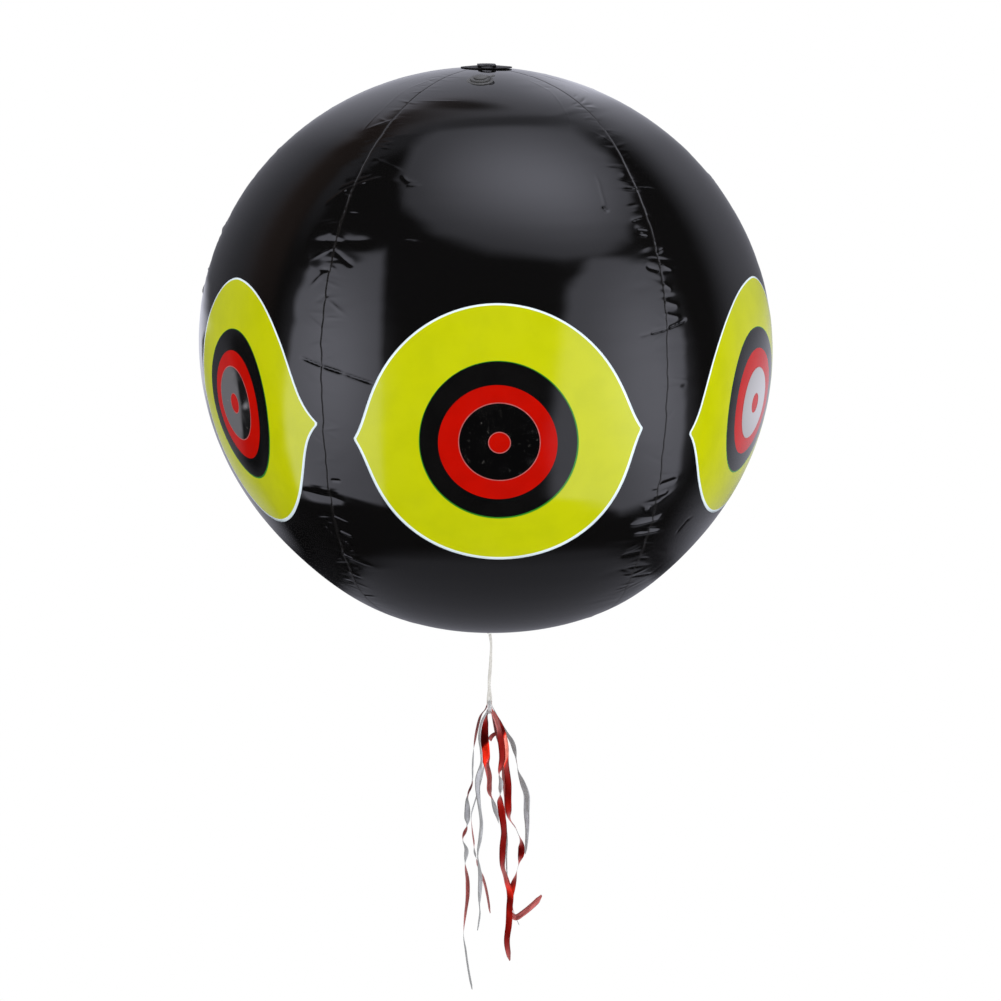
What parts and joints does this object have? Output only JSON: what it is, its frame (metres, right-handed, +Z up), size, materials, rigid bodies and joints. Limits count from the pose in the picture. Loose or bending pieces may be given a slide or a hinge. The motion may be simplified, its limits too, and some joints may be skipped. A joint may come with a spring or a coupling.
{
  "type": "bird scare balloon",
  "caption": "Inflatable ball of dark glossy panels with printed staring eyes, hung by a fold-up tab, with a white ribbon and twisted metallic foil tails below",
  "frame": {"origin": "top face of the folded-down hanging tab, on its fold line, over the ball's vertical axis", "axes": "+Z up the ball's axis, -Y the side whose eye faces the picture's camera, +X to its right"},
  "size_m": [0.4, 0.3876, 0.7541],
  "materials": {
    "pvc_film": "glossy",
    "cap_vinyl": "glossy",
    "eye_ink": "glossy",
    "mirror_foil": "mirror",
    "valve_pvc": "glossy",
    "ribbon_white": "woven",
    "streamer_foil": "metallised red on one side and silver on the other"
  },
  "bodies": {
    "balloon": {"gore_1": "pvc_film", "gore_2": "pvc_film", "gore_3": "pvc_film", "gore_4": "pvc_film", "gore_5": "pvc_film", "gore_6": "pvc_film", "eye_print_1": "eye_ink", "eye_print_2": "eye_ink", "eye_print_3": "eye_ink", "eye_print_4": "eye_ink", "eye_print_5": "eye_ink", "eye_print_6": "eye_ink", "eye_foil_1": "mirror_foil", "eye_foil_2": "mirror_foil", "eye_foil_3": "mirror_foil", "eye_foil_4": "mirror_foil", "eye_foil_5": "mirror_foil", "eye_foil_6": "mirror_foil", "top_cap": "cap_vinyl", "bottom_cap": "cap_vinyl", "hang_tab_base": "cap_vinyl", "streamer_tab_base": "cap_vinyl", "valve_flange": "valve_pvc"},
    "hang_tab": {"hang_tab": "cap_vinyl"},
    "valve_stem": {"valve_stem": "valve_pvc", "valve_plug_strap": "valve_pvc"},
    "valve_flap": {"valve_flap": "valve_pvc"},
    "valve_plug": {"valve_plug": "valve_pvc"},
    "streamer_tab": {"streamer_tab": "cap_vinyl"},
    "ribbon": {"ribbon_tie": "ribbon_white", "ribbon": "ribbon_white", "ribbon_loop": "ribbon_white", "foil_fold_1": "streamer_foil", "foil_fold_2": "streamer_foil", "foil_fold_3": "streamer_foil", "foil_fold_4": "streamer_foil"},
    "streamer_1": {"streamer_1": "streamer_foil"},
    "streamer_2": {"streamer_2": "streamer_foil"},
    "streamer_3": {"streamer_3": "streamer_foil"},
    "streamer_4": {"streamer_4": "streamer_foil"},
    "streamer_5": {"streamer_5": "streamer_foil"},
    "streamer_6": {"streamer_6": "streamer_foil"},
    "streamer_7": {"streamer_7": "streamer_foil"},
    "streamer_8": {"streamer_8": "streamer_foil"}
  },
  "joints": [
    {"name": "hang_tab_fold", "type": "hinge", "parent": "balloon", "child": "hang_tab", "pos_m": [0, 0, 0], "axis": [-1, 0, 0], "range_deg": [0, 160]},
    {"name": "valve_pull", "type": "slide", "parent": "balloon", "child": "valve_stem", "axis": [-0.0322, -0.2623, 0.9644], "range_m": [0, 0.0095]},
    {"name": "valve_plug_pull", "type": "slide", "parent": "valve_stem", "child": "valve_plug", "axis": [-0.0322, -0.2623, 0.9644], "range_m": [0, 0.008], "deforming": ["valve_plug_strap"]},
    {"name": "valve_flap_fold", "type": "hinge", "parent": "valve_stem", "child": "valve_flap", "pos_m": [-0.00043, -0.04453, -0.01985], "axis": [-0.1175, -0.9573, -0.2643], "range_deg": [0, 40], "stiffness_Nm_per_rad": 0.00005, "springref_deg": -22.92},
    {"name": "streamer_tab_fold", "type": "hinge", "parent": "balloon", "child": "streamer_tab", "pos_m": [0, 0, -0.3936], "axis": [1, 0, 0], "range_deg": [-60, 60]},
    {"name": "ribbon_swing", "type": "hinge", "parent": "streamer_tab", "child": "ribbon", "pos_m": [0, -0.0003, -0.4036], "axis": [0, 1, 0], "range_deg": [-60, 60]},
    {"name": "streamer_1_swing", "type": "hinge", "parent": "ribbon", "child": "streamer_1", "pos_m": [0.0007, 0, -0.4775], "axis": [0, 1, 0], "range_deg": [0, 60]},
    {"name": "streamer_2_swing", "type": "hinge", "parent": "ribbon", "child": "streamer_2", "pos_m": [0.0007, 0, -0.4775], "axis": [0, 1, 0], "range_deg": [0, 60]},
    {"name": "streamer_3_swing", "type": "hinge", "parent": "ribbon", "child": "streamer_3", "pos_m": [0.0007, 0, -0.4775], "axis": [0, 1, 0], "range_deg": [0, 60]},
    {"name": "streamer_4_swing", "type": "hinge", "parent": "ribbon", "child": "streamer_4", "pos_m": [0.0007, 0, -0.4775], "axis": [0, 1, 0], "range_deg": [0, 60]},
    {"name": "streamer_5_swing", "type": "hinge", "parent": "ribbon", "child": "streamer_5", "pos_m": [0.0007, 0, -0.4775], "axis": [0, -1, 0], "range_deg": [0, 60]},
    {"name": "streamer_6_swing", "type": "hinge", "parent": "ribbon", "child": "streamer_6", "pos_m": [0.0007, 0, -0.4775], "axis": [0, -1, 0], "range_deg": [0, 60]},
    {"name": "streamer_7_swing", "type": "hinge", "parent": "ribbon", "child": "streamer_7", "pos_m": [0.0007, 0, -0.4775], "axis": [0, -1, 0], "range_deg": [0, 60]},
    {"name": "streamer_8_swing", "type": "hinge", "parent": "ribbon", "child": "streamer_8", "pos_m": [0.0007, 0, -0.4775], "axis": [0, -1, 0], "range_deg": [0, 60]}
  ]
}
